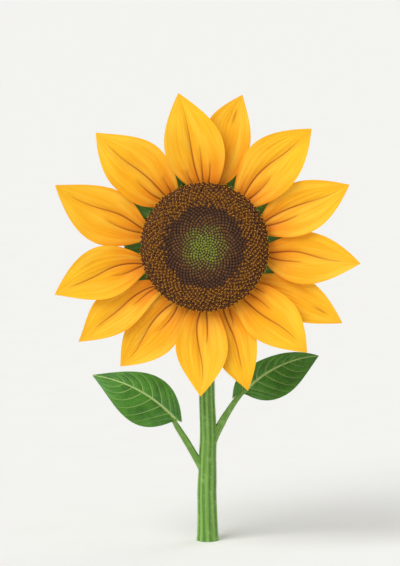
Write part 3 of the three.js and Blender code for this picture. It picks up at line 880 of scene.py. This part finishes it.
def make_florets(name, shape, chosen, material, seed):
    """The same small shape at each chosen floret, as one piece."""
    share, foot, grow, out = (rows[chosen] for rows in floret_places())
    points, faces = shape
    count = len(share)
    local = np.random.default_rng(seed)
    axis = grow + local.normal(0, FLORET_LEAN, (count, 3))
    axis /= np.linalg.norm(axis, axis=1, keepdims=True)
    side = np.cross(axis, out)
    side /= np.linalg.norm(side, axis=1, keepdims=True)
    turn = local.uniform(0, math.tau, count)[:, None]
    first = side * np.cos(turn) + np.cross(axis, side) * np.sin(turn)
    second = np.cross(axis, first)
    size = (FLORET_SIZE[0] + FLORET_SIZE[1] * share) * local.uniform(*FLORET_VARIETY, count)
    size = size * (1 - RIM_SHRINK * share**30)
    x, y, z = points.T[..., None]
    spread = x * first[:, None] + y * second[:, None] + z * axis[:, None]
    places = foot[:, None] + spread * size[:, None, None]
    start = np.arange(count)[:, None] * len(points)
    joined = [row for face in faces for row in (start + np.array(face)).tolist()]
    make_piece(name, facing(places.reshape(-1, 3)) + HEAD_CENTRE, joined, material, "seed_disc", sharp=40)


def make_disc(materials):
    """The core, and florets of each zone's kind, with anthers and a stigma in the open ones."""
    rim = walk(FLORET_FEET)[-1]
    sides, rings = GRIDS["core"]
    core = np.stack(core_place(np.linspace(rim, 1, rings), CORE_RISE)[:2], axis=-1)
    back = [(HUB_RADIUS - 1, DISC_BACK), (FLORET_FEET[-1][0], DISC_BACK)]
    turned_body("disc_core", np.concatenate([back, core]), sides, materials["core"], "seed_disc")
    share, foot = floret_places()[:2]
    wander = waves(foot[:, 0] / 6, foot[:, 1] / 6, 1.5, SEEDS["zone_edges"])
    scatter = np.random.default_rng(SEEDS["zone_scatter"]).normal(0, ZONE_BLUR[1], FLORETS)
    kind = np.digitize(share * rim + ZONE_BLUR[0] * wander + scatter, list(ZONES.values())[1:])
    young = spun(YOUNG_BUD, 10, 0.1, 0.2)
    closed = spun(CLOSED_BUD, 10, 0.05, 0.3)
    shapes = [young, young, closed, closed, merged([spun(FLORET_TUBE, 8), lobes()])]
    for k, (name, shape) in enumerate(zip(ZONES, shapes)):
        seed = SEEDS["florets"] + k
        make_florets(name, shape, kind == k, materials[name], seed)
    # With the seed of the open florets, the last ones, they lean and turn as those do
    make_florets("anther_columns", spun(ANTHER_COLUMN, 6), kind == k, materials["anthers"], seed)
    make_florets("stigmas", stigma(), kind == k, materials["pollen"], seed)


# Shader nodes

def linear(colour):
    """A colour written as six hex digits, as linear red, green, blue and alpha."""
    parts = [int(colour[k:k + 2], 16) / 255 for k in (0, 2, 4)]
    return [p / 12.92 if p <= 0.04045 else ((p + 0.055) / 1.055) ** 2.4 for p in parts] + [1]


def add(tree, kind, output, inputs, **settings):
    """One output of a new shader node. Its inputs are values, or the outputs of other nodes."""
    node = tree.nodes.new(kind)
    for key, value in settings.items():
        setattr(node, key, value)
    for key, value in inputs.items():
        if isinstance(value, bpy.types.NodeSocket):
            tree.links.new(value, node.inputs[key])
        else:
            node.inputs[key].default_value = value
    return node.outputs[output]


def point_value(tree, key):
    return add(tree, "ShaderNodeAttribute", "Fac", {}, attribute_name=key)


def arithmetic(tree, operation, a, b=0):
    return add(tree, "ShaderNodeMath", "Value", {0: a, 1: b}, operation=operation)


def mix(tree, factor, a, b):
    """The colour a, and b over it by the factor. A colour is six hex digits or a node's output."""
    a, b = [linear(colour) if isinstance(colour, str) else colour for colour in (a, b)]
    return add(tree, "ShaderNodeMix", 2, {0: factor, 6: a, 7: b}, data_type="RGBA")


def scaled(tree, value, low, high, start=0, end=1):
    """A value taken from the range start to end, to the range low to high, and no farther."""
    inputs = {"Value": value, "From Min": start, "From Max": end, "To Min": low, "To Max": high}
    return add(tree, "ShaderNodeMapRange", "Result", inputs, interpolation_type="SMOOTHSTEP")


def layered(tree, colour, *layers):
    """The colour with others over it. layers: (value or its key, colour, low, high), and the start and end
    of the value where they aren't 0 and 1."""
    for value, over, *ranges in layers:
        if isinstance(value, str):
            value = point_value(tree, value)
        colour = mix(tree, scaled(tree, value, *ranges), colour, over)
    return colour


def ramp(tree, value, stops):
    """A colour that changes with a value, from (value, colour) stops."""
    colour = add(tree, "ShaderNodeValToRGB", "Color", {"Fac": value})
    elements = colour.node.color_ramp.elements
    while len(elements) < len(stops):
        elements.new(0.5)
    for element, (position, tone) in zip(elements, stops):
        element.position = position
        element.color = linear(tone)
    return colour


def streaks(tree, across, along):
    """Noise drawn out along the grain."""
    grain = add(tree, "ShaderNodeAttribute", "Vector", {}, attribute_name="grain")
    drawn = add(tree, "ShaderNodeMapping", "Vector", {"Vector": grain, "Scale": (across, across, along)})
    return add(tree, "ShaderNodeTexNoise", "Fac", {"Vector": drawn, "Scale": 1, "Detail": 3})


def speckle(tree, size):
    """Even noise, with spots of about the given size."""
    place = add(tree, "ShaderNodeTexCoord", "Object", {})
    return add(tree, "ShaderNodeTexNoise", "Fac", {"Vector": place, "Scale": 1 / (size * MM), "Detail": 3})


def new_material(name):
    material = bpy.data.materials.new(name)
    material.use_nodes = True
    return material, material.node_tree


def finished(material, colour, roughness, bumps=None, specular=0.5):
    """The material with its colour. bumps: (their height as a node's output, strength, depth)."""
    tree = material.node_tree
    shader = tree.nodes["Principled BSDF"]
    shader.inputs["Roughness"].default_value = roughness
    shader.inputs["Specular IOR Level"].default_value = specular
    tree.links.new(colour, shader.inputs["Base Color"])
    if bumps:
        height, strength, depth = bumps
        inputs = {"Height": height, "Strength": strength, "Distance": depth * MM}
        tree.links.new(add(tree, "ShaderNodeBump", "Normal", inputs), shader.inputs["Normal"])
    return material


# Materials

def petal_material():
    """Yellow, deeper at the disc, fine streaks, painted shade in creases and on rear petals, paler back."""
    material, tree = new_material("ray_petal")
    stops = [(0, "d96a04"), (0.1, "ee8a06"), (0.32, "fbb00b"), (0.75, "ffc71c"), (1, "f9bb14")]
    fine = streaks(tree, 0.9, 0.03)
    colour = layered(
        tree, ramp(tree, point_value(tree, "along"), stops),
        # Painted shade, deeper orange on the rear tiers, with each petal's own tone
        ("rear_shade_and_tone", "f29605", 0, 0.35),
        (fine, "e88f06", 0, 0.5, 0.35, 0.75),
        (streaks(tree, 0.16, 0.02), "ffd443", 0, 0.4, 0.4, 0.7),
        # Painted shade: deeper orange in the hollows round the creases, and darker still in the creases.
        ("valley", "e07e04", 0, 0.4),
        ("groove", "8a4203", 0, 0.9),
        ("back", "f0c440", 0, 0.5),
    )
    return finished(material, colour, 0.6, (fine, 0.5, 0.25), specular=0.25)


def leaf_material():
    """Mottled green, with a fine net, pale side veins and midrib, and a paler underside."""
    material, tree = new_material("leaf_blade")
    inputs = {"Vector": add(tree, "ShaderNodeTexCoord", "Object", {}), "Scale": 420}
    net = add(tree, "ShaderNodeTexVoronoi", "Distance", inputs, feature="DISTANCE_TO_EDGE")
    place = arithmetic(tree, "ADD", point_value(tree, "place"), 0.5)
    gap = arithmetic(tree, "ABSOLUTE", arithmetic(tree, "SUBTRACT", arithmetic(tree, "FRACT", place), 0.5))
    side = arithmetic(tree, "MULTIPLY", scaled(tree, gap, 1, 0, 0.015, 0.075), point_value(tree, "fade"))
    colour = layered(
        tree, "2c661c",
        (speckle(tree, 14), "478727", 0, 1, 0.3, 0.7),
        ("margin", "5d9a35", 0, 0.25, 0.6, 1),
        (net, "6fa548", 0.35, 0, 0, 0.12),
        (side, "a3c56f", 0, 0.75),
        ("rib", "b4cf82", 0.9, 0, 0.5, 1.2),
        ("back", "8bab68", 0, 0.5),
    )
    return finished(material, colour, 0.45, (net, 0.4, 0.5))


def green_material(part):
    """Green, with streaks along the grain, and painted light and shade: paler ridges, darker furrows."""
    furrow, crest, spots = GREENS[part]
    material, tree = new_material(f"{part}_green")
    fine = streaks(tree, 0.6, 0.02)
    # The ridges are painted paler and the furrows darker, as light and shade, with the fine streaks mixed
    # in.
    tone = arithmetic(tree, "ADD", arithmetic(tree, "MULTIPLY", point_value(tree, "ridge"), 0.5), fine)
    colour = layered(
        tree, furrow,
        (tone, crest, 0, 1, 0.4, 1.1),
        (speckle(tree, 6), spots, 0, 0.5, 0.5, 0.75),
    )
    return finished(material, colour, 0.55, (fine, 0.5, 0.3))


def small_material(name, dark, light):
    """One colour with a fine mottle."""
    material, tree = new_material(name)
    colour = mix(tree, speckle(tree, 1.2), dark, light)
    return finished(material, colour, 0.7, (speckle(tree, 0.5), 0.4, 0.15))


def floor_material():
    material, tree = new_material("floor")
    return finished(material, mix(tree, speckle(tree, 60), "f5f5f3", "f8f8f6"), 0.95)


# Stage

def make_floor():
    bpy.ops.mesh.primitive_plane_add(size=FLOOR_SIZE)
    floor = bpy.context.object
    floor.name = "floor"
    floor.data.materials.append(floor_material())


def make_sun(name, toward, width, strength):
    data = bpy.data.lights.new(name, "SUN")
    data.angle = math.radians(width)
    data.energy = strength
    x, y, z = toward
    new_object(name, data).rotation_euler = (math.atan2(math.hypot(x, y), z), 0, math.atan2(x, -y))


def make_world():
    """A pale backdrop, dimmer overhead so that the light keeps a direction."""
    world = bpy.data.worlds.new("studio")
    world.use_nodes = True
    tree = world.node_tree
    background = tree.nodes["Background"]
    background.inputs["Color"].default_value = linear("fffefb")
    place = add(tree, "ShaderNodeTexCoord", "Generated", {})
    height = add(tree, "ShaderNodeSeparateXYZ", "Z", {"Vector": place})
    strength = scaled(tree, height, BACKDROP, OVERHEAD, *BACKDROP_FADE)
    tree.links.new(strength, background.inputs["Strength"])
    bpy.context.scene.world = world


def make_camera():
    data = bpy.data.cameras.new("camera")
    data.lens = LENS
    data.sensor_width = SENSOR
    data.clip_end = 100
    camera = new_object("camera", data)
    forward = facing((0, 0, 1))
    place = facing((CAMERA_ACROSS, CAMERA_UP, HEAD_CENTRE @ forward + CAMERA_DISTANCE))
    camera.location = place * MM
    camera.rotation_euler = (math.pi / 2 - LOOK_UP, 0, 0)
    bpy.context.scene.camera = camera


make_camera()
make_world()
make_floor()
for lamp, settings in SUNS.items():
    make_sun(lamp, *settings)
bpy.context.scene.view_settings.view_transform = "Standard"

stem_green = green_material("stem")
small = {part: small_material(*tones) for part, tones in SMALL_PARTS.items()}
bristles = [make_stem(stem_green), *make_leaves(leaf_material(), stem_green)]
make_petals(petal_material())
make_bracts(green_material("bract"))
make_receptacle(green_material("receptacle"))
make_disc(small)
make_bristles(np.concatenate(bristles), small["bristles"])
